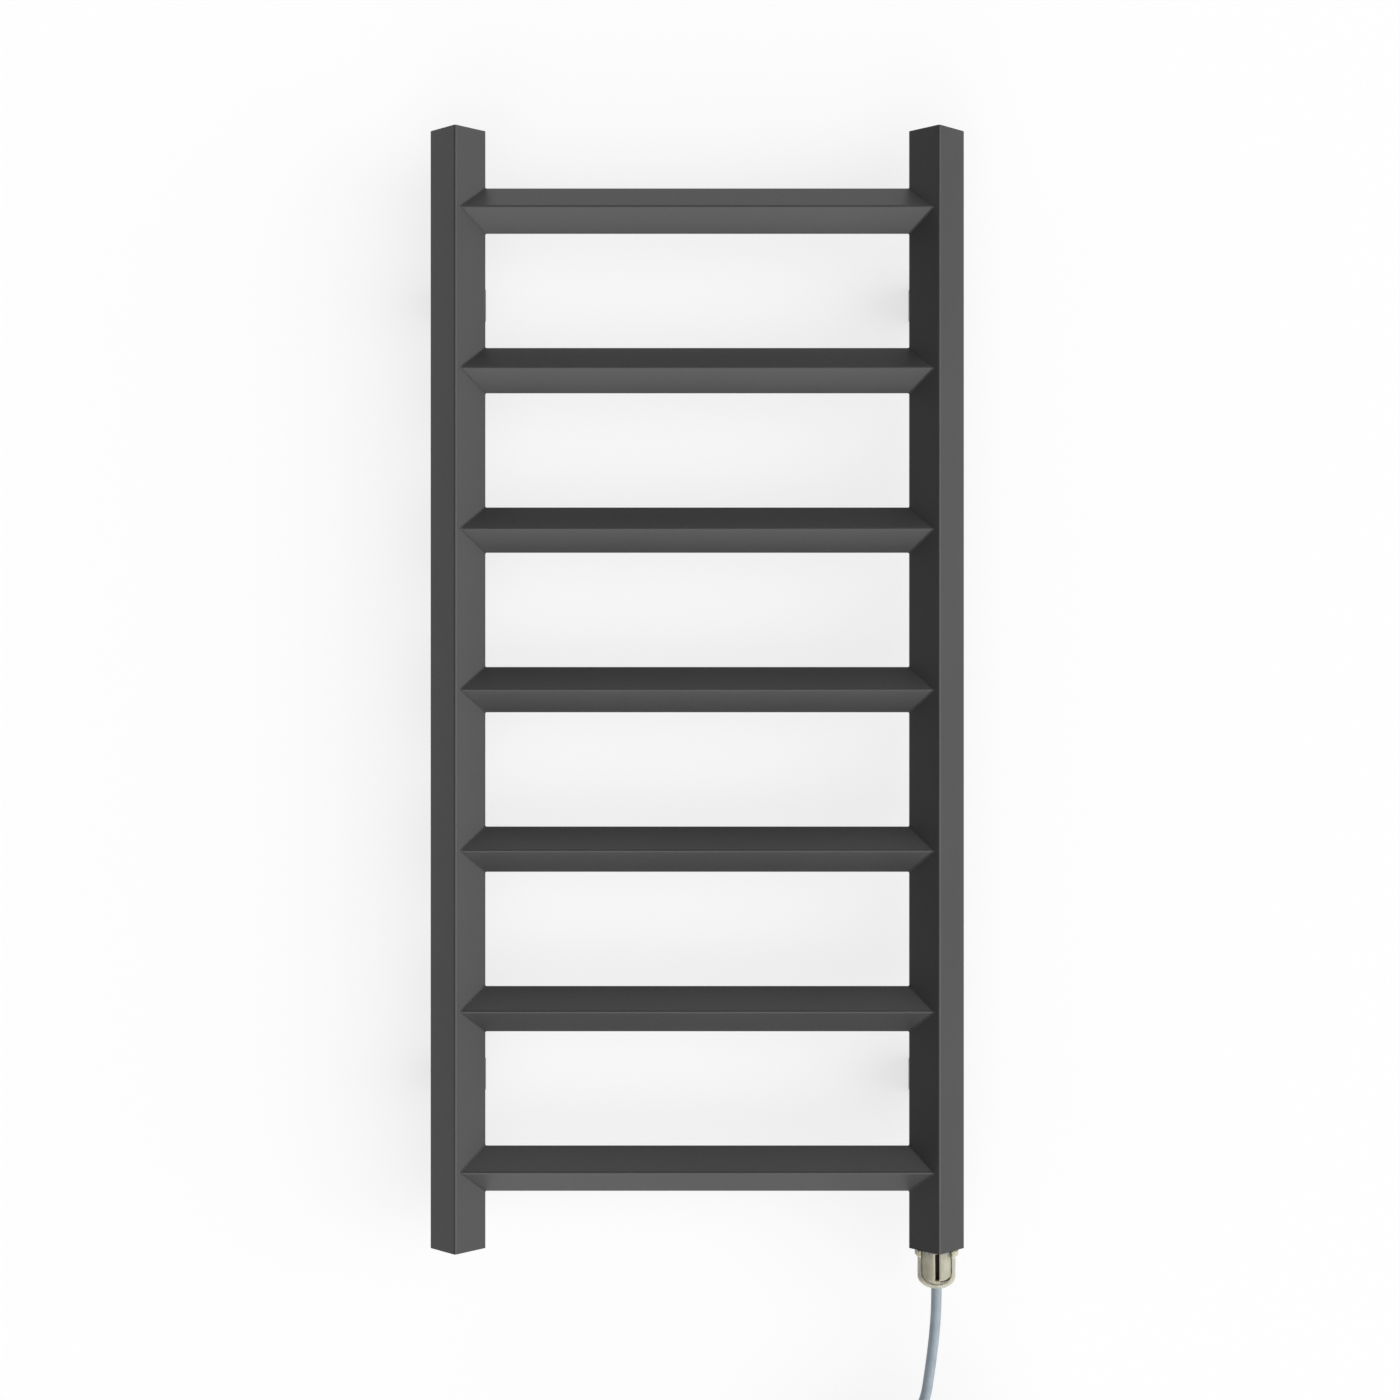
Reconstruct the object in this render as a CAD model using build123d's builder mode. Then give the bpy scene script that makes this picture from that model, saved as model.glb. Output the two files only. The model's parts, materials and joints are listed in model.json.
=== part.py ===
from build123d import *
from math import cos, pi, radians, sin, sqrt, tan
import os

os.makedirs("parts", exist_ok=True)

# Towel warmer rack, millimetres. X runs to the right, Y into the wall, Z up.
# The origin is the middle of the four wall fixings, on the wall.

# ladder
POST_SIZE = 30.0
POST_WALL = 2.0
POST_CORNER = 1.5
POST_LENGTH = 840.0
POST_SPACING = 360.0
BAR_SIZE = 25.0
BAR_WALL = 1.5
BAR_CORNER = 1.5
BAR_COUNT = 7
BAR_PITCH = 120.0
FLOW_BORE = 14.0
WALL_GAP = 65.0
CAP_THICKNESS = 2.5
PLATE_THICKNESS = 3.0

# ports in the bottom plates, G1/2
PORT_BORE = 20.96
PORT_BOSS_WALL = 2.3
PORT_DEPTH = 16.0
SEAT_WIDTH = 1.1
SEAL_THICKNESS = 1.5
PLUG_HEAD = 2.0
HEX_SOCKET = 10.0
HEX_SOCKET_DEPTH = 8.0
THREAD_CLEARANCE = 0.05

# wall fixings
FIXING_SPACING_X = POST_SPACING
FIXING_SPACING_Z = 600.0
SLEEVE_SIZE = 30.0
SLEEVE_CORNER = 4.0
SLEEVE_WALL = 4.0
SLEEVE_CLEARANCE = 0.3
BASE_THICKNESS = 3.0
BASE_GAP = 0.5
BOSS_TIP_GAP = 4.6
BOSS_CORNER = 1.2
FIXING_BORE = 5.5
HEAD_RECESS = 11.2
FIXING_WEB = 9.0
LOCK_SCREW = 5.0
LOCK_SCREW_LENGTH = 6.0
LOCK_SCREW_SOCKET = 2.5
LOCK_SCREW_DEPTH = 20.0
LOCK_CLEARANCE = 0.05
LOCK_TIP_GAP = 0.2

# heating element
ROD_DIAMETER = 10.0
ROD_LENGTH = 500.0
ROD_SEAT = 1.0
SENSOR_DIAMETER = 4.0
SENSOR_SEAT = 1.0
SENSOR_LENGTH = 150.0
SENSOR_OFFSET = 7.6
FLANGE_LEDGE = 1.25
RIM_WIDTH = 0.8
FLANGE_THICKNESS = 1.6
BRAZE_GAP = 0.02

# head of the element
HEAD_TURN = 7.0
HEAD_GAP = 0.4
CUP_DIAMETER = 28.5
CUP_WALL = 2.0
CUP_LENGTH = 20.7
DOME_DEPTH = 9.3
COLLAR_STEP = 2.15
COLLAR_LENGTH = 5.8
COLLAR_CHAMFER = 1.7
COLLAR_CLEARANCE = 0.1
WINDOW_SIDE = 2.6
WINDOW_STRAIGHT = 16.9
WINDOW_DEPTH = 25.2
JAW_RECESS = 0.95
JAW_GAP = 0.3
SLOT_WIDTH = 3.0
SLOT_SHIFT = 0.75
SLOT_EDGE = 0.9
FOOT_GAP = 1.1
FOOT_HEIGHT = 3.2
BOOT_DIAMETER = 13.0
BOOT_LENGTH = 18.4
BOOT_CLEARANCE = 0.3
SEAL_DIAMETER = 12.0
SEAL_LENGTH = 6.3
CORD_HOLE_CLEARANCE = 0.25

# mains lead
CORD_DIAMETER = 8.0
RUN_SHARE = 0.45
LEAD = [
    (180.0, -65.0, -446.3),
    (180.0, -65.0, -463.0),
    (178.4, -65.0, -486.0),
    (175.2, -65.2, -511.0),
    (171.0, -67.0, -537.0),
    (153.0, -72.0, -565.0),
    (137.5, -73.2, -586.2),
]
TAIL = [
    (134.8, -80.5, -600.0),
    (128.2, -82.0, -627.0),
    (131.4, -82.2, -657.0),
    (144.4, -80.0, -688.0),
    (144.4, -80.0, -722.0),
]
COIL_CENTRE = (180.1, -65.0, -616.0)
COIL_MEAN_DIAMETER = 96.0
COIL_LAYERS = 2
COIL_SIDE = 24.8
COIL_FILLET = 3.0
TIE_WIDTH = 9.0
TIE_THICKNESS = 1.4

# mains plug
GRIP_LENGTH = 28.0
GRIP_TOP = 11.0
GRIP_BOTTOM = 16.0
PLUG_DIAMETER = 37.0
PLUG_SHOULDER = 20.0
PLUG_TAPER = 12.0
PLUG_LENGTH = 34.0
PIN_DIAMETER = 4.8
PIN_LENGTH = 19.0
PIN_SPACING = 19.0
PIN_CHAMFER = 1.2
PLUG_EDGE = 1.5
EARTH_WIDTH = 6.0
EARTH_THICKNESS = 0.8
EARTH_LENGTH = 16.0
EARTH_DEPTH = 1.6

BOTTOM = -POST_LENGTH / 2
TOP = POST_LENGTH / 2
HEAD_X = POST_SPACING / 2
BAR_LEVELS = [(i - (BAR_COUNT - 1) / 2) * BAR_PITCH for i in range(BAR_COUNT)]
SIDES = {"left": -1, "right": 1}
PORT_RADIUS = PORT_BORE / 2
SEAT_RADIUS = PORT_RADIUS + SEAT_WIDTH
SEAT_DEPTH = SEAL_THICKNESS + PLUG_HEAD
FLANGE_FACE = BOTTOM - FLANGE_THICKNESS
CUP_TOP = BOTTOM - HEAD_GAP
CUP_SHOULDER = BOTTOM - COLLAR_LENGTH
DOME_TOP = BOTTOM - CUP_LENGTH
CUP_RADIUS = CUP_DIAMETER / 2
JAW_RADIUS = CUP_RADIUS - JAW_RECESS
BOOT_END = FLANGE_FACE - BOOT_LENGTH
COLLAR_DIAMETER = CUP_DIAMETER + 2 * COLLAR_STEP
FLANGE_DIAMETER = CUP_DIAMETER - 2 * CUP_WALL + 2 * FLANGE_LEDGE
WINDOW_WIDTH = CUP_DIAMETER - 2 * WINDOW_SIDE
POST_REACH = POST_SIZE / sqrt(2) - POST_CORNER * (sqrt(2) - 1)
BOSS_LENGTH = WALL_GAP - POST_REACH - BOSS_TIP_GAP - BASE_THICKNESS
BOSS_SIZE = SLEEVE_SIZE - 2 * SLEEVE_WALL - 2 * SLEEVE_CLEARANCE
PLUG_X, PLUG_Y, GRIP_START = TAIL[-1]
GRIP_END = GRIP_START - GRIP_LENGTH
PLUG_FACE = GRIP_END - PLUG_LENGTH


def save(builder, name):
    builder.part.label = name
    export_step(builder.part, f"parts/{name}.step")


def side_plane(x, y):
    """The upright plane through an axis at (x, y), seen from the front."""
    return Plane(origin=(x, y, 0), x_dir=(1, 0, 0), z_dir=(0, -1, 0))


def head_plane():
    """The upright plane through the head's axis, turned with its window."""
    turn = radians(HEAD_TURN)
    return Plane(
        origin=(HEAD_X, -WALL_GAP, 0),
        x_dir=(cos(turn), -sin(turn), 0),
        z_dir=(-sin(turn), -cos(turn), 0),
    )


def post_outline():
    """Post section in the current sketch, an edge to the front."""
    RectangleRounded(POST_SIZE, POST_SIZE, POST_CORNER, rotation=45)


# posts, closed at the top and with a port at the bottom
for side, sign in SIDES.items():
    x = sign * POST_SPACING / 2
    with BuildPart() as post:
        with BuildSketch(Plane.XY.offset(BOTTOM + PLATE_THICKNESS)):
            with Locations((x, -WALL_GAP)):
                post_outline()
                RectangleRounded(
                    POST_SIZE - 2 * POST_WALL,
                    POST_SIZE - 2 * POST_WALL,
                    POST_CORNER / 2,
                    rotation=45,
                    mode=Mode.SUBTRACT,
                )
        extrude(amount=POST_LENGTH - PLATE_THICKNESS - CAP_THICKNESS)
        for level in BAR_LEVELS:
            hole = Plane(origin=(x, -WALL_GAP, level), x_dir=(0, 1, 0), z_dir=(-sign, 0, 0))
            with BuildSketch(hole):
                Circle(FLOW_BORE / 2)
            extrude(amount=POST_SIZE, mode=Mode.SUBTRACT)
    save(post, f"post_{side}")

    with BuildPart() as cap:
        with BuildSketch(Plane.XY.offset(TOP - CAP_THICKNESS)):
            with Locations((x, -WALL_GAP)):
                post_outline()
        extrude(amount=CAP_THICKNESS)
    save(cap, f"top_cap_{side}")

    with BuildPart() as plate:
        with BuildSketch(Plane.XY.offset(BOTTOM)):
            with Locations((x, -WALL_GAP)):
                post_outline()
        extrude(amount=PLATE_THICKNESS)
        with BuildSketch(Plane.XY.offset(BOTTOM)):
            with Locations((x, -WALL_GAP)):
                Circle(PORT_RADIUS + PORT_BOSS_WALL)
        extrude(amount=PORT_DEPTH)
        with BuildSketch(Plane.XY.offset(BOTTOM)):
            with Locations((x, -WALL_GAP)):
                Circle(PORT_RADIUS)
        extrude(amount=PORT_DEPTH, mode=Mode.SUBTRACT)
        with BuildSketch(Plane.XY.offset(BOTTOM)):
            with Locations((x, -WALL_GAP)):
                Circle(SEAT_RADIUS)
        extrude(amount=SEAT_DEPTH, mode=Mode.SUBTRACT)
    save(plate, f"port_plate_{side}")

# towel bars, numbered from the top, coped to the posts
for number, level in enumerate(reversed(BAR_LEVELS), 1):
    with BuildPart() as bar:
        with BuildSketch(Plane.YZ):
            with Locations((-WALL_GAP, level)):
                RectangleRounded(BAR_SIZE, BAR_SIZE, BAR_CORNER, rotation=45)
                RectangleRounded(
                    BAR_SIZE - 2 * BAR_WALL,
                    BAR_SIZE - 2 * BAR_WALL,
                    BAR_CORNER / 2,
                    rotation=45,
                    mode=Mode.SUBTRACT,
                )
        extrude(amount=POST_SPACING / 2, both=True)
        with BuildSketch(Plane.XY.offset(level - BAR_SIZE)):
            with Locations((-POST_SPACING / 2, -WALL_GAP), (POST_SPACING / 2, -WALL_GAP)):
                post_outline()
        extrude(amount=2 * BAR_SIZE, mode=Mode.SUBTRACT)
    save(bar, f"bar_{number}")

# blanking plug with its sealing ring, flush in the left port
with BuildPart() as blanking_plug:
    with BuildSketch(Plane.XY.offset(BOTTOM)):
        with Locations((-HEAD_X, -WALL_GAP)):
            Circle(SEAT_RADIUS - THREAD_CLEARANCE)
    extrude(amount=PLUG_HEAD)
    with BuildSketch(Plane.XY.offset(BOTTOM)):
        with Locations((-HEAD_X, -WALL_GAP)):
            Circle(PORT_RADIUS - THREAD_CLEARANCE)
    extrude(amount=PORT_DEPTH)
    with BuildSketch(Plane.XY.offset(BOTTOM)):
        with Locations((-HEAD_X, -WALL_GAP)):
            RegularPolygon(HEX_SOCKET / 2, 6, major_radius=False)
    extrude(amount=HEX_SOCKET_DEPTH, mode=Mode.SUBTRACT)
save(blanking_plug, "blanking_plug")

with BuildPart() as blanking_seal:
    with BuildSketch(Plane.XY.offset(BOTTOM + PLUG_HEAD)):
        with Locations((-HEAD_X, -WALL_GAP)):
            Circle(SEAT_RADIUS - THREAD_CLEARANCE)
            Circle(PORT_RADIUS, mode=Mode.SUBTRACT)
    extrude(amount=SEAL_THICKNESS)
save(blanking_seal, "blanking_seal")

# heating element, screwed into the right port
with BuildPart() as heater_gasket:
    with BuildSketch(Plane.XY.offset(BOTTOM)):
        with Locations((HEAD_X, -WALL_GAP)):
            Circle(SEAT_RADIUS - THREAD_CLEARANCE)
            Circle(PORT_RADIUS, mode=Mode.SUBTRACT)
    extrude(amount=SEAT_DEPTH)
save(heater_gasket, "heater_gasket")

with BuildPart() as heater_fitting:
    with BuildSketch(Plane.XY.offset(BOTTOM)):
        with Locations((HEAD_X, -WALL_GAP)):
            Circle(PORT_RADIUS - THREAD_CLEARANCE)
    extrude(amount=PORT_DEPTH)
    with BuildSketch(Plane.XY.offset(FLANGE_FACE)):
        with Locations((HEAD_X, -WALL_GAP)):
            Circle(FLANGE_DIAMETER / 2 - RIM_WIDTH - BRAZE_GAP)
    extrude(amount=FLANGE_THICKNESS)
    with BuildSketch(Plane.XY.offset(BOTTOM - ROD_SEAT)):
        with Locations((HEAD_X, -WALL_GAP)):
            Circle(ROD_DIAMETER / 2 + BRAZE_GAP)
    extrude(amount=ROD_SEAT + PORT_DEPTH, mode=Mode.SUBTRACT)
    with BuildSketch(Plane.XY.offset(BOTTOM - SENSOR_SEAT)):
        with Locations((HEAD_X - SENSOR_OFFSET, -WALL_GAP)):
            Circle(SENSOR_DIAMETER / 2 + BRAZE_GAP)
    extrude(amount=SENSOR_SEAT + PORT_DEPTH, mode=Mode.SUBTRACT)
save(heater_fitting, "heater_fitting")

with BuildPart() as flange_rim:
    with BuildSketch(Plane.XY.offset(FLANGE_FACE)):
        with Locations((HEAD_X, -WALL_GAP)):
            Circle(FLANGE_DIAMETER / 2)
            Circle(FLANGE_DIAMETER / 2 - RIM_WIDTH, mode=Mode.SUBTRACT)
    extrude(amount=FLANGE_THICKNESS)
save(flange_rim, "flange_rim")

with BuildPart() as heating_rod:
    with BuildSketch(Plane.XY.offset(BOTTOM - ROD_SEAT)):
        with Locations((HEAD_X, -WALL_GAP)):
            Circle(ROD_DIAMETER / 2)
    extrude(amount=ROD_LENGTH)
    fillet(heating_rod.edges().group_by(Axis.Z)[-1], ROD_DIAMETER / 2 - 1)
save(heating_rod, "heating_rod")

with BuildPart() as sensor_tube:
    with BuildSketch(Plane.XY.offset(BOTTOM - SENSOR_SEAT)):
        with Locations((HEAD_X - SENSOR_OFFSET, -WALL_GAP)):
            Circle(SENSOR_DIAMETER / 2)
    extrude(amount=SENSOR_LENGTH)
    fillet(sensor_tube.edges().group_by(Axis.Z)[-1], SENSOR_DIAMETER / 2 - 0.5)
save(sensor_tube, "sensor_tube")

# head: a domed cup with a window, two clamp jaws, a boot and a cord seal
HEAD_AXIS = Axis((HEAD_X, -WALL_GAP, 0), (0, 0, 1))
HEAD_SIDE = side_plane(HEAD_X, -WALL_GAP)
FRONT = Axis((HEAD_X, -WALL_GAP, 0), head_plane().z_dir)

with BuildPart() as cup:
    with BuildSketch(HEAD_SIDE):
        with BuildLine():
            Polyline(
                (0, CUP_TOP),
                (COLLAR_DIAMETER / 2, CUP_TOP),
                (COLLAR_DIAMETER / 2, CUP_SHOULDER + COLLAR_CHAMFER),
                (COLLAR_DIAMETER / 2 - COLLAR_CHAMFER, CUP_SHOULDER),
                (CUP_RADIUS, CUP_SHOULDER),
                (CUP_RADIUS, DOME_TOP),
            )
            EllipticalCenterArc((0, DOME_TOP), CUP_RADIUS, DOME_DEPTH, 270, arc_size=90)
            Line((0, DOME_TOP - DOME_DEPTH), (0, CUP_TOP))
        make_face()
    revolve(axis=HEAD_AXIS)
    with BuildSketch(HEAD_SIDE):
        with BuildLine():
            Polyline(
                (0, CUP_TOP),
                (FLANGE_DIAMETER / 2 + COLLAR_CLEARANCE, CUP_TOP),
                (FLANGE_DIAMETER / 2 + COLLAR_CLEARANCE, FLANGE_FACE),
                (CUP_RADIUS - CUP_WALL, FLANGE_FACE),
                (CUP_RADIUS - CUP_WALL, DOME_TOP),
            )
            EllipticalCenterArc(
                (0, DOME_TOP), CUP_RADIUS - CUP_WALL, DOME_DEPTH - CUP_WALL, 270, arc_size=90
            )
            Line((0, DOME_TOP - DOME_DEPTH + CUP_WALL), (0, CUP_TOP))
        make_face()
    revolve(axis=HEAD_AXIS, mode=Mode.SUBTRACT)
    with BuildSketch(head_plane()):
        with Locations((0, BOTTOM - WINDOW_STRAIGHT)):
            Rectangle(WINDOW_WIDTH, WINDOW_STRAIGHT, align=(Align.CENTER, Align.MIN))
            Ellipse(WINDOW_WIDTH / 2, WINDOW_DEPTH - WINDOW_STRAIGHT)
    extrude(amount=COLLAR_DIAMETER, mode=Mode.SUBTRACT)
    with BuildSketch(Plane.XY.offset(DOME_TOP)):
        with Locations((HEAD_X, -WALL_GAP)):
            Circle(CORD_DIAMETER / 2 + CORD_HOLE_CLEARANCE)
    extrude(amount=-2 * DOME_DEPTH, mode=Mode.SUBTRACT)
save(cup, "gland_cup")


def jaw_blank():
    """The domed block that fills the window, before it is split."""
    with BuildPart() as blank:
        with BuildSketch(HEAD_SIDE):
            with BuildLine():
                Polyline((0, FLANGE_FACE), (JAW_RADIUS, FLANGE_FACE), (JAW_RADIUS, DOME_TOP))
                EllipticalCenterArc(
                    (0, DOME_TOP), JAW_RADIUS, DOME_DEPTH - JAW_RECESS, 270, arc_size=90
                )
                Line((0, DOME_TOP - DOME_DEPTH + JAW_RECESS), (0, FLANGE_FACE))
            make_face()
        revolve(axis=HEAD_AXIS)
        with BuildSketch(head_plane()):
            with Locations((0, BOTTOM - WINDOW_STRAIGHT)):
                Rectangle(
                    WINDOW_WIDTH - 2 * JAW_GAP,
                    WINDOW_STRAIGHT,
                    align=(Align.CENTER, Align.MIN),
                )
                Ellipse(WINDOW_WIDTH / 2 - JAW_GAP, WINDOW_DEPTH - WINDOW_STRAIGHT - JAW_GAP)
        extrude(amount=COLLAR_DIAMETER, mode=Mode.INTERSECT)
        with BuildSketch(Plane.XY.offset(BOTTOM)):
            with Locations((HEAD_X, -WALL_GAP)):
                Circle(BOOT_DIAMETER / 2 + BOOT_CLEARANCE)
        extrude(amount=-2 * CUP_LENGTH, mode=Mode.SUBTRACT)
    return blank


def right_jaw_outline(gap):
    """Outline of the right jaw in the current sketch, grown by a gap."""
    edge = SLOT_SHIFT + SLOT_WIDTH / 2
    width = WINDOW_WIDTH / 2 - JAW_GAP - edge
    height = WINDOW_DEPTH - WINDOW_STRAIGHT - JAW_GAP - FOOT_HEIGHT
    with Locations((edge, BOTTOM - WINDOW_STRAIGHT)):
        Ellipse(width + gap, height + gap)
        Rectangle(width + gap, WINDOW_STRAIGHT, align=(Align.MIN, Align.MIN))
    with Locations((edge, BOTTOM)):
        Rectangle(
            COLLAR_DIAMETER, 3 * CUP_LENGTH, align=(Align.MAX, Align.CENTER), mode=Mode.SUBTRACT
        )


with BuildPart() as jaw_right:
    add(jaw_blank())
    with BuildSketch(head_plane()):
        right_jaw_outline(0)
    extrude(amount=COLLAR_DIAMETER, mode=Mode.INTERSECT)
    upright = jaw_right.edges().filter_by(Axis.Z)
    fillet(upright.sort_by(FRONT)[-1], SLOT_EDGE)
save(jaw_right, "jaw_right")

with BuildPart() as jaw_left:
    add(jaw_blank())
    with BuildSketch(head_plane()):
        right_jaw_outline(FOOT_GAP)
        with Locations((SLOT_SHIFT, BOTTOM - WINDOW_STRAIGHT / 2)):
            Rectangle(SLOT_WIDTH, 2 * CUP_LENGTH)
        with Locations((SLOT_SHIFT, BOTTOM - WINDOW_DEPTH + FOOT_HEIGHT)):
            Rectangle(
                SLOT_WIDTH + 1, CUP_LENGTH, align=(Align.CENTER, Align.MAX), mode=Mode.SUBTRACT
            )
    extrude(amount=COLLAR_DIAMETER, mode=Mode.SUBTRACT)
    upright = jaw_left.edges().filter_by(Axis.Z)
    fillet(upright.sort_by(FRONT)[-1], SLOT_EDGE)
save(jaw_left, "jaw_left")

with BuildPart() as terminal_boot:
    with BuildSketch(Plane.XY.offset(FLANGE_FACE)):
        with Locations((HEAD_X, -WALL_GAP)):
            Circle(BOOT_DIAMETER / 2)
    extrude(amount=-BOOT_LENGTH)
save(terminal_boot, "terminal_boot")

with BuildPart() as cable_seal:
    with BuildSketch(Plane.XY.offset(BOOT_END)):
        with Locations((HEAD_X, -WALL_GAP)):
            Circle(SEAL_DIAMETER / 2)
    extrude(amount=-SEAL_LENGTH)
save(cable_seal, "cable_seal")

# wall fixings: bases on the wall, sleeves on the posts, a lock screw in each
corners = [
    (-FIXING_SPACING_X / 2, FIXING_SPACING_Z / 2),
    (FIXING_SPACING_X / 2, FIXING_SPACING_Z / 2),
    (-FIXING_SPACING_X / 2, -FIXING_SPACING_Z / 2),
    (FIXING_SPACING_X / 2, -FIXING_SPACING_Z / 2),
]
for number, (x, z) in enumerate(corners, 1):
    with BuildPart() as base:
        with BuildSketch(Plane.XZ):
            with Locations((x, z)):
                RectangleRounded(SLEEVE_SIZE, SLEEVE_SIZE, SLEEVE_CORNER)
        extrude(amount=BASE_THICKNESS)
        with BuildSketch(Plane.XZ):
            with Locations((x, z)):
                RectangleRounded(BOSS_SIZE, BOSS_SIZE, BOSS_CORNER)
        extrude(amount=BASE_THICKNESS + BOSS_LENGTH)
        with BuildSketch(Plane.XZ):
            with Locations((x, z)):
                Circle(FIXING_BORE / 2)
        extrude(amount=BASE_THICKNESS + BOSS_LENGTH, mode=Mode.SUBTRACT)
        with BuildSketch(Plane.XZ.offset(FIXING_WEB)):
            with Locations((x, z)):
                Circle(HEAD_RECESS / 2)
        extrude(amount=BASE_THICKNESS + BOSS_LENGTH, mode=Mode.SUBTRACT)
    save(base, f"wall_base_{number}")

    with BuildPart() as sleeve:
        with BuildSketch(Plane.XZ.offset(BASE_THICKNESS + BASE_GAP)):
            with Locations((x, z)):
                RectangleRounded(SLEEVE_SIZE, SLEEVE_SIZE, SLEEVE_CORNER)
                RectangleRounded(
                    SLEEVE_SIZE - 2 * SLEEVE_WALL,
                    SLEEVE_SIZE - 2 * SLEEVE_WALL,
                    BOSS_CORNER + SLEEVE_CLEARANCE,
                    mode=Mode.SUBTRACT,
                )
        extrude(amount=WALL_GAP - BASE_THICKNESS - BASE_GAP)
        with BuildSketch(Plane.XY.offset(z - SLEEVE_SIZE)):
            with Locations((x, -WALL_GAP)):
                post_outline()
        extrude(amount=2 * SLEEVE_SIZE, mode=Mode.SUBTRACT)
        with BuildSketch(Plane.XY.offset(z)):
            with Locations((x, -LOCK_SCREW_DEPTH)):
                Circle(LOCK_SCREW / 2)
        extrude(amount=-SLEEVE_SIZE, mode=Mode.SUBTRACT)
    save(sleeve, f"sleeve_{number}")

    tip = z - BOSS_SIZE / 2 - LOCK_TIP_GAP
    with BuildPart() as lock_screw:
        with BuildSketch(Plane.XY.offset(tip)):
            with Locations((x, -LOCK_SCREW_DEPTH)):
                Circle(LOCK_SCREW / 2 - LOCK_CLEARANCE)
        extrude(amount=-LOCK_SCREW_LENGTH)
        with BuildSketch(Plane.XY.offset(tip - LOCK_SCREW_LENGTH)):
            with Locations((x, -LOCK_SCREW_DEPTH)):
                RegularPolygon(LOCK_SCREW_SOCKET / 2, 6, major_radius=False)
        extrude(amount=LOCK_SCREW_SOCKET, mode=Mode.SUBTRACT)
        chamfer(lock_screw.edges().group_by(Axis.Z)[-1], 0.5)
    save(lock_screw, f"lock_screw_{number}")


def cord_tube(points, name):
    """A cord along straight runs joined by arcs as large as the runs allow."""
    route = [Vector(*p) for p in points]
    runs = [b - a for a, b in zip(route, route[1:])]
    bends = []
    for before, after in zip(runs, runs[1:]):
        half_turn = radians(before.get_angle(after)) / 2
        bends.append(RUN_SHARE * min(before.length, after.length) / tan(half_turn))
    with BuildPart() as tube:
        with BuildLine() as path:
            FilletPolyline(*points, radius=bends)
        with BuildSketch(Plane(route[0], z_dir=runs[0])):
            Circle(CORD_DIAMETER / 2)
        sweep(path=path.wire())
    save(tube, name)
    length = path.wire().length
    ratio = tube.part.volume / (pi * (CORD_DIAMETER / 2) ** 2 * length)
    print(name, "radii", [round(r, 1) for r in bends])
    print(name, "length", round(length, 1), "volume over section x length", round(ratio, 4))
    return length


lead_length = cord_tube(LEAD, "power_cord")
tail_length = cord_tube(TAIL, "cord_tail")

# the put-away turns as one ring, with a tie round its top
COIL_X, COIL_Y, COIL_Z = COIL_CENTRE
RING_OUTER = (COIL_MEAN_DIAMETER + COIL_LAYERS * CORD_DIAMETER) / 2
RING_INNER = (COIL_MEAN_DIAMETER - COIL_LAYERS * CORD_DIAMETER) / 2
with BuildPart() as coil:
    with BuildSketch(Plane(origin=(COIL_X, COIL_Y + COIL_SIDE / 2, COIL_Z), z_dir=(0, -1, 0))):
        Circle(RING_OUTER)
        Circle(RING_INNER, mode=Mode.SUBTRACT)
    extrude(amount=COIL_SIDE)
    fillet(coil.edges(), COIL_FILLET)
save(coil, "cord_coil")

with BuildPart() as tie:
    with BuildSketch(Plane.XY.offset(COIL_Z + (RING_OUTER + RING_INNER) / 2)):
        with Locations((COIL_X, COIL_Y)):
            Rectangle(TIE_WIDTH, COIL_SIDE + 2 * TIE_THICKNESS)
    extrude(amount=(RING_OUTER - RING_INNER) / 2 + TIE_THICKNESS, both=True)
    add(coil, mode=Mode.SUBTRACT)
save(tie, "cord_tie")

# plug: grip, body, two pins and two side earth contacts
with BuildPart() as grip:
    with BuildSketch(Plane.XY.offset(GRIP_START)):
        with Locations((PLUG_X, PLUG_Y)):
            Circle(GRIP_TOP / 2)
    with BuildSketch(Plane.XY.offset(GRIP_END)):
        with Locations((PLUG_X, PLUG_Y)):
            Circle(GRIP_BOTTOM / 2)
    loft()
save(grip, "plug_grip")

with BuildPart() as plug_body:
    with BuildSketch(side_plane(PLUG_X, PLUG_Y)):
        Polygon(
            (0, GRIP_END),
            (PLUG_SHOULDER / 2, GRIP_END),
            (PLUG_DIAMETER / 2, GRIP_END - PLUG_TAPER),
            (PLUG_DIAMETER / 2, PLUG_FACE),
            (0, PLUG_FACE),
            align=None,
        )
    revolve(axis=Axis((PLUG_X, PLUG_Y, 0), (0, 0, 1)))
    fillet(plug_body.edges().filter_by(GeomType.CIRCLE), PLUG_EDGE)
    with BuildSketch(Plane.XY.offset(PLUG_FACE)):
        with Locations(
            (PLUG_X - PLUG_DIAMETER / 2, PLUG_Y),
            (PLUG_X + PLUG_DIAMETER / 2, PLUG_Y),
        ):
            Rectangle(2 * EARTH_DEPTH, EARTH_WIDTH + 2 * EARTH_THICKNESS)
    extrude(amount=EARTH_LENGTH + EARTH_THICKNESS, mode=Mode.SUBTRACT)
save(plug_body, "plug_body")

with BuildPart() as plug_pins:
    with BuildSketch(Plane.XY.offset(PLUG_FACE)):
        with Locations((PLUG_X, PLUG_Y - PIN_SPACING / 2), (PLUG_X, PLUG_Y + PIN_SPACING / 2)):
            Circle(PIN_DIAMETER / 2)
    extrude(amount=-PIN_LENGTH)
    chamfer(plug_pins.edges().group_by(Axis.Z)[0], PIN_CHAMFER)
save(plug_pins, "plug_pins")

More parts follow.
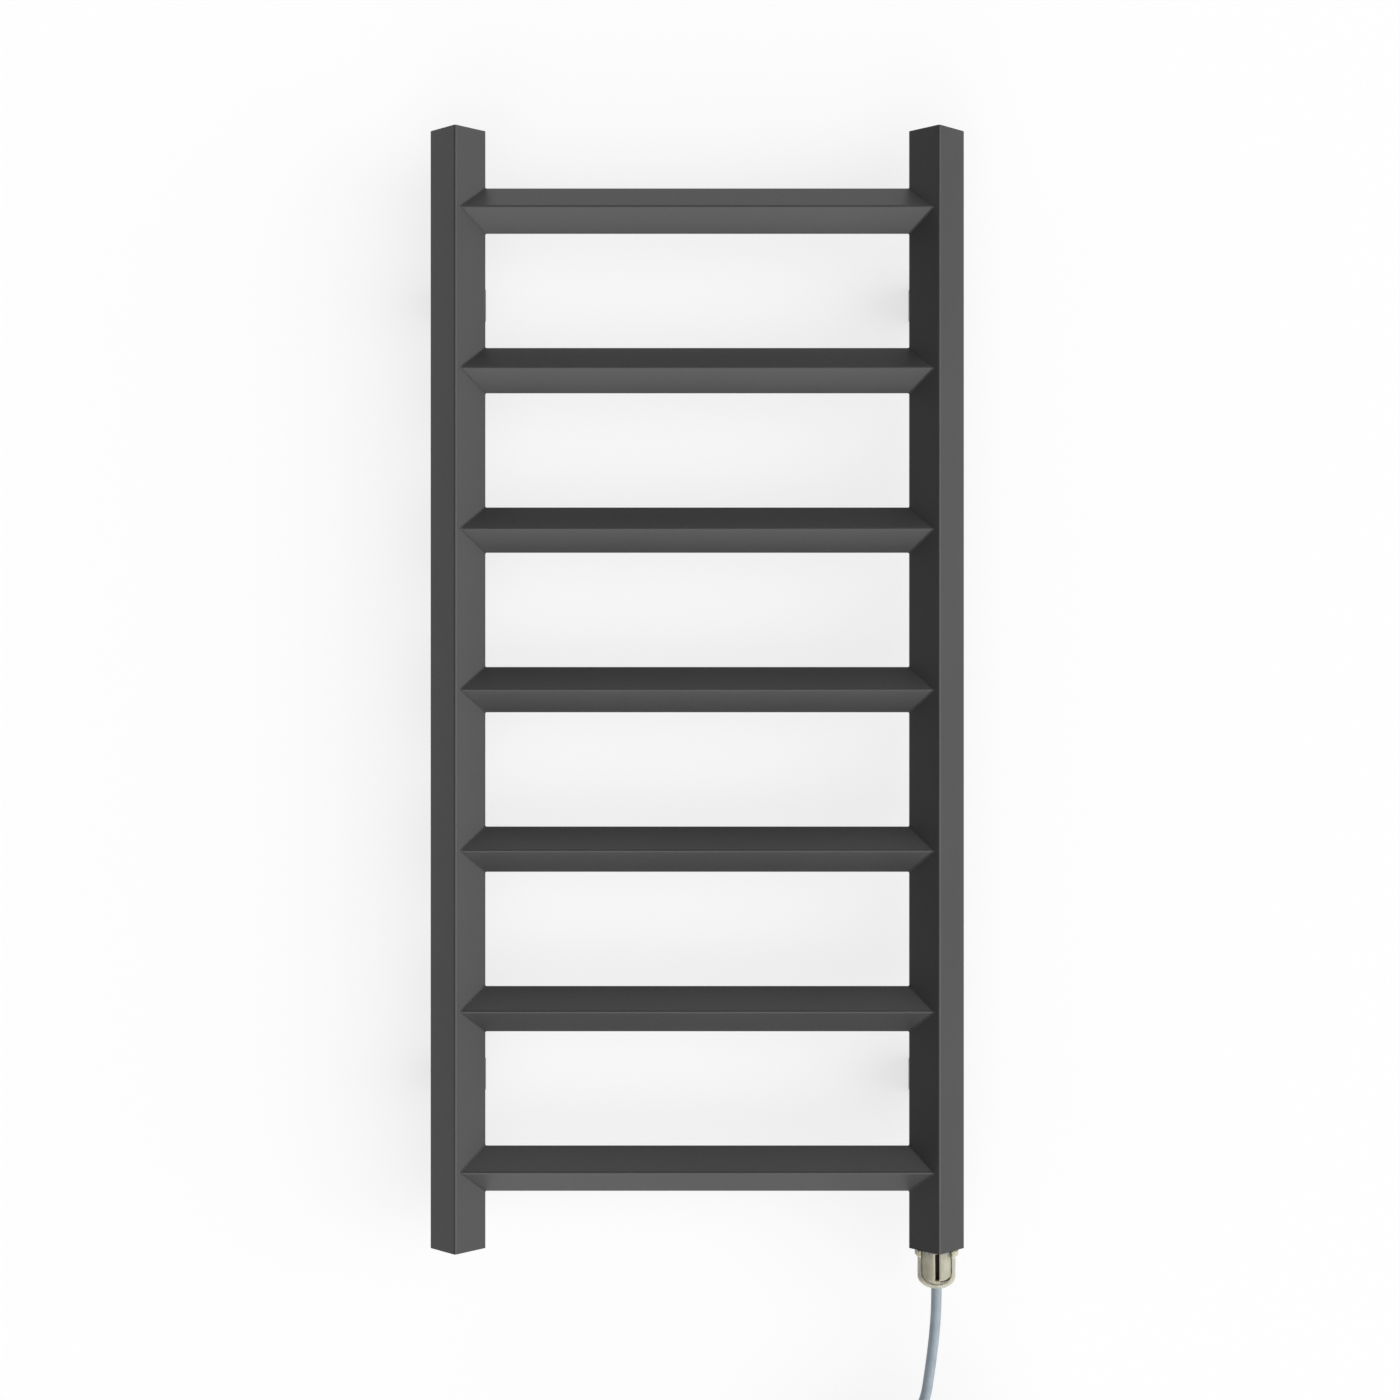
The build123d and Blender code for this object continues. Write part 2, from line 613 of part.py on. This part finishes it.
with BuildPart() as earth_contacts:
    with BuildSketch(Plane.XY.offset(PLUG_FACE)):
        with Locations(
            (PLUG_X - PLUG_DIAMETER / 2 + EARTH_DEPTH - EARTH_THICKNESS / 2, PLUG_Y),
            (PLUG_X + PLUG_DIAMETER / 2 - EARTH_DEPTH + EARTH_THICKNESS / 2, PLUG_Y),
        ):
            Rectangle(EARTH_THICKNESS, EARTH_WIDTH)
    extrude(amount=EARTH_LENGTH)
save(earth_contacts, "earth_contacts")
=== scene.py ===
import json
import math

import bmesh
import bpy
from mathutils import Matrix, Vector


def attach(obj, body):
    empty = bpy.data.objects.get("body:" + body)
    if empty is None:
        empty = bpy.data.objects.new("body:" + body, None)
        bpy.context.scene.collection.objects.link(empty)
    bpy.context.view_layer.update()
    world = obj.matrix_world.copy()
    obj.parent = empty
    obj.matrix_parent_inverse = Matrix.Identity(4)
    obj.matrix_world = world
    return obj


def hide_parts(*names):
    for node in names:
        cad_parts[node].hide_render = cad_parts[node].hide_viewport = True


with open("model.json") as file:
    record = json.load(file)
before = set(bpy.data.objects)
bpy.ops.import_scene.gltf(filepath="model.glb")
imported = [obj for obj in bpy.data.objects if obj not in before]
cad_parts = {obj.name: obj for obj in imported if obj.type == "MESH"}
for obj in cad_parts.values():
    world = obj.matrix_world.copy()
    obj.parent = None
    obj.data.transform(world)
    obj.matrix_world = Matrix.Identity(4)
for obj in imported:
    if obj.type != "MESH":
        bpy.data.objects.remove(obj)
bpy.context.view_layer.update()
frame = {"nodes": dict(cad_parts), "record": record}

nodes = frame["nodes"]
MM = 0.001

# sizes repeated from the CAD source, in millimetres
POST_X = 180.0
RACK_Y = -65.0
POST_SIZE = 30.0
BAR_SIZE = 25.0
CORNER = 1.5
LEVELS = [360.0 - 120.0 * i for i in range(7)]
FIXINGS = [(-180.0, 300.0), (180.0, 300.0), (-180.0, -300.0), (180.0, -300.0)]
SLEEVE_SIZE = 30.0
SLEEVE_CORNER = 4.0
CORD_DIAMETER = 8.0
COIL_CENTRE = (180.1, -65.0, -616.0)
COIL_START_DEG = 145.0
LEAD = [
    (180.0, -65.0, -446.3),
    (180.0, -65.0, -463.0),
    (178.4, -65.0, -486.0),
    (175.2, -65.2, -511.0),
    (171.0, -67.0, -537.0),
    (153.0, -72.0, -565.0),
]
TAIL = [
    (134.8, -80.5, -600.0),
    (128.2, -82.0, -627.0),
    (131.4, -82.2, -657.0),
    (144.4, -80.0, -688.0),
    (144.4, -80.0, -722.0),
]
GRIP_LENGTH = 28.0
GRIP_TOP_RADIUS = 5.5
GRIP_BOTTOM_RADIUS = 8.0

# sizes of the Blender pieces only, in millimetres
WELD_STANDOFF = 0.2
BAR_BEAD_RADIUS = 0.5
SLEEVE_BEAD_RADIUS = 0.9
COIL_TURNS = 4
COIL_STEPS = 16
OUTER_TURN_RADIUS = 52.8
INNER_TURN_RADIUS = 44.8
COIL_HALF_DEPTH = 8.2
INNER_TURN_PITCH = 12.7
GRIP_STEPS = 84
GRIP_RIBS = 6
GRIP_RIB_DEPTH = 0.7
GRIP_RIB_START = 0.08
GRIP_RIB_END = 0.86
TIE_HEIGHT = 48.0
TIE_WIDTH = 9.0
TIE_THICKNESS = 1.3
TIE_HALF_Y = 13.0
TIE_HALF_Z = 8.6
TIE_CORNER = 3.0

# camera, in metres, found from the photo's perspective
CAMERA_DISTANCE = 1.765
CAMERA_LENS = 58.1
CAMERA_SHIFT = (0.00197, -0.0074)

# wall of the studio
WALL_HALF_WIDTH = 6
WALL_OFFSET = 0.0006
WALL_GREY = 0.29
WALL_GLOW = 0.68
BACKDROP_GREY = 0.93


# ---------------------------------------------------------------- camera
cam_data = bpy.data.cameras.new("camera")
cam = bpy.data.objects.new("camera", cam_data)
bpy.context.scene.collection.objects.link(cam)
cam.location = (0.0, -CAMERA_DISTANCE, 0.0)
cam.rotation_euler = (math.radians(90), 0, 0)
cam_data.sensor_width = 36.0
cam_data.lens = CAMERA_LENS
cam_data.shift_x, cam_data.shift_y = CAMERA_SHIFT
cam_data.clip_end = 50
bpy.context.scene.camera = cam
bpy.context.scene.view_settings.view_transform = "Standard"


# ---------------------------------------------------------------- node helpers
def new_material(name):
    """A material with its node tree and shader."""
    mat = bpy.data.materials.new(name)
    mat.use_nodes = True
    return mat, mat.node_tree, mat.node_tree.nodes["Principled BSDF"]


def add_noise(tree, scale, detail, stretch=(1, 1, 1)):
    """Noise fixed to the object, as a value from 0 to 1."""
    coord = tree.nodes.new("ShaderNodeTexCoord")
    mapping = tree.nodes.new("ShaderNodeMapping")
    mapping.inputs["Scale"].default_value = stretch
    noise = tree.nodes.new("ShaderNodeTexNoise")
    noise.inputs["Scale"].default_value = scale
    noise.inputs["Detail"].default_value = detail
    tree.links.new(coord.outputs["Object"], mapping.inputs["Vector"])
    tree.links.new(mapping.outputs["Vector"], noise.inputs["Vector"])
    return noise.outputs["Fac"]


def ramp(tree, fac, low, high):
    """A colour between two, by the middle of a noise's spread."""
    node = tree.nodes.new("ShaderNodeValToRGB")
    node.color_ramp.elements[0].position = 0.35
    node.color_ramp.elements[1].position = 0.65
    node.color_ramp.elements[0].color = (*low, 1)
    node.color_ramp.elements[1].color = (*high, 1)
    tree.links.new(fac, node.inputs["Fac"])
    return node.outputs["Color"]


def span(tree, fac, low, high):
    """A number between two, by the middle of a noise's spread."""
    node = tree.nodes.new("ShaderNodeMapRange")
    node.inputs["From Min"].default_value = 0.3
    node.inputs["From Max"].default_value = 0.7
    node.inputs["To Min"].default_value = low
    node.inputs["To Max"].default_value = high
    tree.links.new(fac, node.inputs["Value"])
    return node.outputs["Result"]


def add_bump(tree, shader, height, distance, under=None):
    """Relief from a height, laid over another relief if there is one."""
    bump = tree.nodes.new("ShaderNodeBump")
    bump.inputs["Distance"].default_value = distance
    tree.links.new(height, bump.inputs["Height"])
    if under is not None:
        tree.links.new(under, bump.inputs["Normal"])
    tree.links.new(bump.outputs["Normal"], shader.inputs["Normal"])
    return bump.outputs["Normal"]


def coat(name, low, high, roughness, metallic=0.0, grain=1800, grain_depth=0.00002,
         peel=260, peel_depth=0.00004, specular=0.5, stretch=(1, 1, 1), blotch=9.0):
    """A finish with a colour blotch, a fine grain and a broad ripple."""
    mat, tree, shader = new_material(name)
    shader.inputs["Metallic"].default_value = metallic
    shader.inputs["Specular IOR Level"].default_value = specular
    blotches = add_noise(tree, blotch, 4)
    tree.links.new(ramp(tree, blotches, low, high), shader.inputs["Base Color"])
    fine = add_noise(tree, grain, 2, stretch=stretch)
    tree.links.new(span(tree, fine, *roughness), shader.inputs["Roughness"])
    broad = add_bump(tree, shader, add_noise(tree, peel, 2), peel_depth)
    add_bump(tree, shader, fine, grain_depth, under=broad)
    return mat


def soften(mat, weight, radius):
    """Lets light spread under a plastic surface, radius in metres for each colour."""
    shader = mat.node_tree.nodes["Principled BSDF"]
    shader.inputs["Subsurface Weight"].default_value = weight
    shader.inputs["Subsurface Radius"].default_value = radius
    shader.inputs["Subsurface Scale"].default_value = 1.0


# ---------------------------------------------------------------- materials
powder = coat("powder_coat", (0.0285, 0.0285, 0.029), (0.0325, 0.0325, 0.033), (0.27, 0.34))
base_powder = coat("base_powder", (0.027, 0.027, 0.0275), (0.032, 0.032, 0.0325), (0.30, 0.38))
steel = coat("screw_steel", (0.16, 0.16, 0.165), (0.22, 0.22, 0.225), (0.28, 0.42), 1.0,
             grain=3000, peel=900, peel_depth=0.00001)
nickel = coat("nickel", (0.60, 0.59, 0.56), (0.70, 0.69, 0.66), (0.16, 0.28), 1.0,
              grain=2500, grain_depth=0.000004, peel=500, peel_depth=0.000006)
rubber = coat("rubber", (0.012, 0.012, 0.012), (0.020, 0.020, 0.021), (0.55, 0.75),
              grain=2600, grain_depth=0.00003)
brass = coat("brass", (0.62, 0.45, 0.20), (0.74, 0.56, 0.27), (0.20, 0.34), 1.0,
             grain=2500, grain_depth=0.00001, stretch=(1, 1, 8))
stainless = coat("stainless", (0.50, 0.50, 0.51), (0.60, 0.60, 0.61), (0.22, 0.36), 1.0,
                 grain=2200, grain_depth=0.000008, stretch=(1, 1, 0.04))
tie_nylon = coat("tie_nylon", (0.03, 0.03, 0.031), (0.045, 0.045, 0.046), (0.38, 0.5))
nylon = coat("head_nylon", (0.40, 0.38, 0.295), (0.46, 0.44, 0.35), (0.34, 0.46),
             grain=3000, grain_depth=0.000012, peel=380, peel_depth=0.00005, blotch=120,
             specular=0.35)
soften(nylon, 0.95, (0.010, 0.009, 0.007))
sheath = coat("cord_sheath", (0.262, 0.312, 0.352), (0.300, 0.354, 0.396), (0.40, 0.52),
              grain=2400, grain_depth=0.000015, peel=300, peel_depth=0.00003, blotch=60)
soften(sheath, 0.75, (0.004, 0.004, 0.004))
plug_plastic = coat("plug_plastic", (0.27, 0.31, 0.34), (0.31, 0.35, 0.38), (0.34, 0.46),
                    grain=2600, grain_depth=0.00002, peel=300, peel_depth=0.00003, blotch=40)

by_slot = {
    "powder_coat": powder, "base_coat": base_powder, "screw_steel": steel,
    "nickel": nickel, "rubber": rubber, "brass": brass, "stainless": stainless,
    "head_nylon": nylon, "cord_sheath": sheath, "tie_nylon": tie_nylon,
    "plug_plastic": plug_plastic,
}
for part in frame["record"]["subparts"]:
    node = nodes[part["node"]]
    for slot in node.material_slots:
        slot.link = "OBJECT"
        slot.material = by_slot[part["material_slot"]]


# ---------------------------------------------------------------- mesh helpers
def mesh_piece(name, verts, faces, material, body, slot):
    """A smooth-shaded object that rides on a body."""
    mesh = bpy.data.meshes.new(name)
    mesh.from_pydata([tuple(v) for v in verts], [], faces)
    mesh.validate()
    fix = bmesh.new()
    fix.from_mesh(mesh)
    bmesh.ops.recalc_face_normals(fix, faces=fix.faces)
    fix.to_mesh(mesh)
    fix.free()
    for face in mesh.polygons:
        face.use_smooth = True
    mesh.materials.append(material)
    piece = bpy.data.objects.new(name, mesh)
    bpy.context.scene.collection.objects.link(piece)
    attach(piece, body)
    return piece


def closed_tube(points, radii, sides=10):
    """Vertices and faces of a ring-shaped tube along closed points."""
    verts, faces = [], []
    count = len(points)
    centre = sum(points, Vector()) / count
    for i, point in enumerate(points):
        along = (points[(i + 1) % count] - points[i - 1]).normalized()
        out = (point - centre).cross(along).cross(along).normalized()
        up = along.cross(out)
        for k in range(sides):
            turn = 2 * math.pi * k / sides
            verts.append(point + (out * math.cos(turn) + up * math.sin(turn)) * radii[i])
    for i in range(count):
        for k in range(sides):
            a = i * sides + k
            b = i * sides + (k + 1) % sides
            c = ((i + 1) % count) * sides + (k + 1) % sides
            d = ((i + 1) % count) * sides + k
            faces.append((a, b, c, d))
    return verts, faces


def rounded_square(size, corner, flat_steps, arc_steps, turn_deg):
    """Outline points of a rounded square, turned about its centre."""
    half = size / 2 - corner
    points = []
    for quarter in range(4):
        start = math.radians(90 * quarter)
        cx = half * (math.cos(start) - math.sin(start))
        cy = half * (math.sin(start) + math.cos(start))
        for k in range(arc_steps + 1):
            a = start + math.radians(90) * k / arc_steps
            points.append((cx + corner * math.cos(a), cy + corner * math.sin(a)))
        nx = half * (math.cos(start + math.pi / 2) - math.sin(start + math.pi / 2))
        ny = half * (math.sin(start + math.pi / 2) + math.cos(start + math.pi / 2))
        end = (nx + corner * math.cos(start + math.pi / 2),
               ny + corner * math.sin(start + math.pi / 2))
        last = points[-1]
        for k in range(1, flat_steps):
            f = k / flat_steps
            points.append((last[0] + (end[0] - last[0]) * f, last[1] + (end[1] - last[1]) * f))
    turn = math.radians(turn_deg)
    return [
        (x * math.cos(turn) - y * math.sin(turn), x * math.sin(turn) + y * math.cos(turn))
        for x, y in points
    ]


def post_surface(offset):
    """Distance from the post's axis to its surface, at an offset across it."""
    knee = CORNER * math.sin(math.radians(45))
    if abs(offset) < knee:
        return (POST_SIZE / 2 - CORNER) * math.sqrt(2) + math.sqrt(CORNER ** 2 - offset ** 2)
    return POST_SIZE / 2 * math.sqrt(2) - abs(offset)


# ---------------------------------------------------------------- weld beads
def bead_radius(i, count, size):
    """Radius of a weld bead at one of its points, a little uneven."""
    wave = math.sin(2 * math.pi * i * 17 / count) + 0.6 * math.sin(2 * math.pi * i * 29 / count)
    return size * MM * (1 + 0.06 * wave)


for side, sign in (("left", 1), ("right", -1)):
    verts, faces = [], []
    for level in LEVELS:
        outline = rounded_square(BAR_SIZE + WELD_STANDOFF, CORNER, 22, 8, 45)
        points = [
            Vector((-sign * POST_X + sign * post_surface(dy), RACK_Y + dy, level + dz)) * MM
            for dy, dz in outline
        ]
        radii = [bead_radius(i, len(points), BAR_BEAD_RADIUS) for i in range(len(points))]
        more, quads = closed_tube(points, radii)
        faces += [tuple(v + len(verts) for v in quad) for quad in quads]
        verts += more
    mesh_piece(f"bar_welds_{side}", verts, faces, powder, "rack", "powder_coat")

verts, faces = [], []
for x, z in FIXINGS:
    outline = rounded_square(SLEEVE_SIZE + WELD_STANDOFF, SLEEVE_CORNER, 22, 10, 0)
    points = [
        Vector((x + dx, RACK_Y + post_surface(dx), z + dz)) * MM for dx, dz in outline
    ]
    radii = [bead_radius(i, len(points), SLEEVE_BEAD_RADIUS) for i in range(len(points))]
    more, quads = closed_tube(points, radii)
    faces += [tuple(v + len(verts) for v in quad) for quad in quads]
    verts += more
mesh_piece("sleeve_welds", verts, faces, powder, "rack", "powder_coat")


# ---------------------------------------------------------------- mains lead
def coil_points():
    """Control points of the put-away turns: an outer layer, then an inner one."""
    points = []
    for i in range(COIL_TURNS * COIL_STEPS):
        t = i / COIL_STEPS
        swap = min(max((t - 2.0) / 0.3, 0), 1)
        swap = swap * swap * (3 - 2 * swap)
        radius = OUTER_TURN_RADIUS * (1 - swap) + INNER_TURN_RADIUS * swap
        if t < 2.0:
            y = -COIL_HALF_DEPTH + COIL_HALF_DEPTH * t
        elif t < 2.25:
            y = COIL_HALF_DEPTH
        else:
            y = COIL_HALF_DEPTH - INNER_TURN_PITCH * (t - 2.25)
        turn = math.radians(COIL_START_DEG + 360 * t)
        points.append((
            COIL_CENTRE[0] + radius * math.cos(turn),
            COIL_CENTRE[1] + y,
            COIL_CENTRE[2] + radius * math.sin(turn),
        ))
    return points


route = LEAD + coil_points() + TAIL
lead_data = bpy.data.curves.new("mains_lead", "CURVE")
lead_data.dimensions = "3D"
lead_data.bevel_depth = CORD_DIAMETER / 2 * MM
lead_data.bevel_resolution = 8
lead_data.resolution_u = 6
lead_data.use_fill_caps = True
spline = lead_data.splines.new("NURBS")
spline.points.add(len(route) - 1)
for point, place in zip(spline.points, route):
    point.co = (*[v * MM for v in place], 1)
spline.order_u = 3
spline.use_endpoint_u = True
lead_data.materials.append(sheath)
lead = bpy.data.objects.new("mains_lead", lead_data)
bpy.context.scene.collection.objects.link(lead)
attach(lead, "rack")
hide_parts("power_cord", "cord_coil", "cord_tail")


def revolve(profile, axis_x, axis_y, segments=64):
    """Vertices and faces of a solid turned about an upright axis."""
    verts, faces = [], []
    for r, z in profile:
        for k in range(segments):
            a = 2 * math.pi * k / segments
            verts.append((
                (axis_x + r * math.cos(a)) * MM, (axis_y + r * math.sin(a)) * MM, z * MM))
    for i in range(len(profile) - 1):
        for k in range(segments):
            a = i * segments + k
            b = i * segments + (k + 1) % segments
            faces.append((a, b, b + segments, a + segments))
    faces.append(tuple(range(segments)))
    faces.append(tuple(range((len(profile) - 1) * segments, len(profile) * segments)))
    return verts, faces


PLUG_X, PLUG_Y, GRIP_TOP = TAIL[-1]
profile = []
for i in range(GRIP_STEPS + 1):
    f = i / GRIP_STEPS
    r = GRIP_TOP_RADIUS + (GRIP_BOTTOM_RADIUS - GRIP_TOP_RADIUS) * f
    if GRIP_RIB_START < f < GRIP_RIB_END:
        along = (f - GRIP_RIB_START) / (GRIP_RIB_END - GRIP_RIB_START)
        r -= GRIP_RIB_DEPTH * max(0, math.sin(along * 2 * math.pi * GRIP_RIBS)) ** 0.6
    if f < 0.04:
        r -= 0.5 * (1 - f / 0.04)
    profile.append((r, GRIP_TOP - GRIP_LENGTH * f))
grip = mesh_piece("plug_grip_ribs", *revolve(profile, PLUG_X, PLUG_Y), plug_plastic,
                  "rack", "plug_plastic")
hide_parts("plug_grip")


def strap(name, centre, half_y, half_z, corner, width, thickness, material, slot):
    """A flat band bent round a bundle, with rounded long edges."""
    path = []
    for quarter in range(4):
        start = math.radians(90 * quarter)
        sy = 1 if quarter in (0, 3) else -1
        sz = 1 if quarter in (0, 1) else -1
        for k in range(9):
            a = start + math.radians(90) * k / 8
            path.append((
                sy * (half_y - corner) + corner * math.cos(a),
                sz * (half_z - corner) + corner * math.sin(a), math.cos(a), math.sin(a)))
    section = []
    for k in range(16):
        a = 2 * math.pi * k / 16
        w = abs(math.cos(a)) ** 0.35 * math.copysign(1, math.cos(a)) * width / 2
        t = abs(math.sin(a)) ** 0.6 * math.copysign(1, math.sin(a)) * thickness / 2
        section.append((w, t))
    verts, faces = [], []
    for y, z, ny, nz in path:
        for w, t in section:
            verts.append((
                (centre[0] + w) * MM,
                (centre[1] + y + ny * t) * MM,
                (centre[2] + z + nz * t) * MM,
            ))
    n, m = len(path), len(section)
    for i in range(n):
        for k in range(m):
            faces.append((
                i * m + k, i * m + (k + 1) % m,
                ((i + 1) % n) * m + (k + 1) % m, ((i + 1) % n) * m + k))
    return mesh_piece(name, verts, faces, material, "rack", slot)


tie = strap("lead_tie", (COIL_CENTRE[0], COIL_CENTRE[1], COIL_CENTRE[2] + TIE_HEIGHT),
            TIE_HALF_Y, TIE_HALF_Z, TIE_CORNER, TIE_WIDTH, TIE_THICKNESS, tie_nylon, "tie_nylon")
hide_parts("cord_tie")


# ---------------------------------------------------------------- stage and light
wall_mesh = bpy.data.meshes.new("wall")
wall_corners = [
    (x * WALL_HALF_WIDTH, 0, z * WALL_HALF_WIDTH) for x, z in ((-1, -1), (1, -1), (1, 1), (-1, 1))
]
wall_mesh.from_pydata(wall_corners, [], [(0, 1, 2, 3)])
wall = bpy.data.objects.new("wall", wall_mesh)
wall.location = (0, WALL_OFFSET, 0)
bpy.context.scene.collection.objects.link(wall)
paint, tree, shader = new_material("wall_paint")
shader.inputs["Base Color"].default_value = (WALL_GREY, WALL_GREY, WALL_GREY, 1)
shader.inputs["Emission Color"].default_value = (1, 1, 1, 1)
shader.inputs["Emission Strength"].default_value = WALL_GLOW
shader.inputs["Roughness"].default_value = 1.0
shader.inputs["Specular IOR Level"].default_value = 0.0
clear = tree.nodes.new("ShaderNodeBsdfTransparent")
mix = tree.nodes.new("ShaderNodeMixShader")
side = tree.nodes.new("ShaderNodeNewGeometry")
tree.links.new(side.outputs["Backfacing"], mix.inputs["Fac"])
tree.links.new(shader.outputs["BSDF"], mix.inputs[1])
tree.links.new(clear.outputs["BSDF"], mix.inputs[2])
tree.links.new(mix.outputs["Shader"], tree.nodes["Material Output"].inputs["Surface"])
wall_mesh.materials.append(paint)

world = bpy.data.worlds.new("studio")
bpy.context.scene.world = world
world.use_nodes = True
tree = world.node_tree
tree.nodes.clear()
out = tree.nodes.new("ShaderNodeOutputWorld")
coord = tree.nodes.new("ShaderNodeTexCoord")


def facing(direction, start, end, strength):
    """Light that grows from nothing to its strength as a ray nears a direction."""
    dot = tree.nodes.new("ShaderNodeVectorMath")
    dot.operation = "DOT_PRODUCT"
    dot.inputs[1].default_value = Vector(direction).normalized()
    tree.links.new(coord.outputs["Generated"], dot.inputs[0])
    node = tree.nodes.new("ShaderNodeMapRange")
    node.interpolation_type = "SMOOTHSTEP"
    node.inputs["From Min"].default_value = start
    node.inputs["From Max"].default_value = end
    node.inputs["To Min"].default_value = 0.0
    node.inputs["To Max"].default_value = strength
    tree.links.new(dot.outputs["Value"], node.inputs["Value"])
    return node.outputs["Result"]


def combine(a, b, how):
    """The sum or product of two values."""
    node = tree.nodes.new("ShaderNodeMath")
    node.operation = how
    tree.links.new(a, node.inputs[0])
    tree.links.new(b, node.inputs[1])
    return node.outputs["Value"]


# direction towards each soft light, cosine at its rim, strength
LIGHTS = [
    ((0.93, -0.37, 0.0), 0.85, 2.85),
    ((0.60, -0.80, 0.0), 0.80, 2.9),
    ((0.70, -0.50, -0.50), 0.80, 0.7),
    ((0.0, -0.80, -0.60), 0.80, 2.4),
    ((-1.0, -0.05, 0.0), 0.80, 0.12),
    ((-0.8, -0.6, 0.0), 0.70, 0.25),
    ((0.0, -0.05, 1.0), 0.80, 1.4),
    ((0.0, -0.05, -1.0), 0.80, 3.1),
    ((0.0, -1.0, 0.0), -1.0, 0.2),
]
room = None
for direction, rim, strength in LIGHTS:
    glow = facing(direction, rim, 1.0, strength)
    room = glow if room is None else combine(room, glow, "ADD")
# no light comes from behind the wall
room = combine(room, facing((0.0, -1.0, 0.0), -0.12, 0.0, 1.0), "MULTIPLY")
light = tree.nodes.new("ShaderNodeBackground")
tree.links.new(room, light.inputs["Strength"])
backdrop = tree.nodes.new("ShaderNodeBackground")
backdrop.inputs["Color"].default_value = (BACKDROP_GREY, BACKDROP_GREY, BACKDROP_GREY, 1)
path = tree.nodes.new("ShaderNodeLightPath")
pick = tree.nodes.new("ShaderNodeMixShader")
tree.links.new(path.outputs["Is Camera Ray"], pick.inputs["Fac"])
tree.links.new(light.outputs["Background"], pick.inputs[1])
tree.links.new(backdrop.outputs["Background"], pick.inputs[2])
tree.links.new(pick.outputs["Shader"], out.inputs["Surface"])
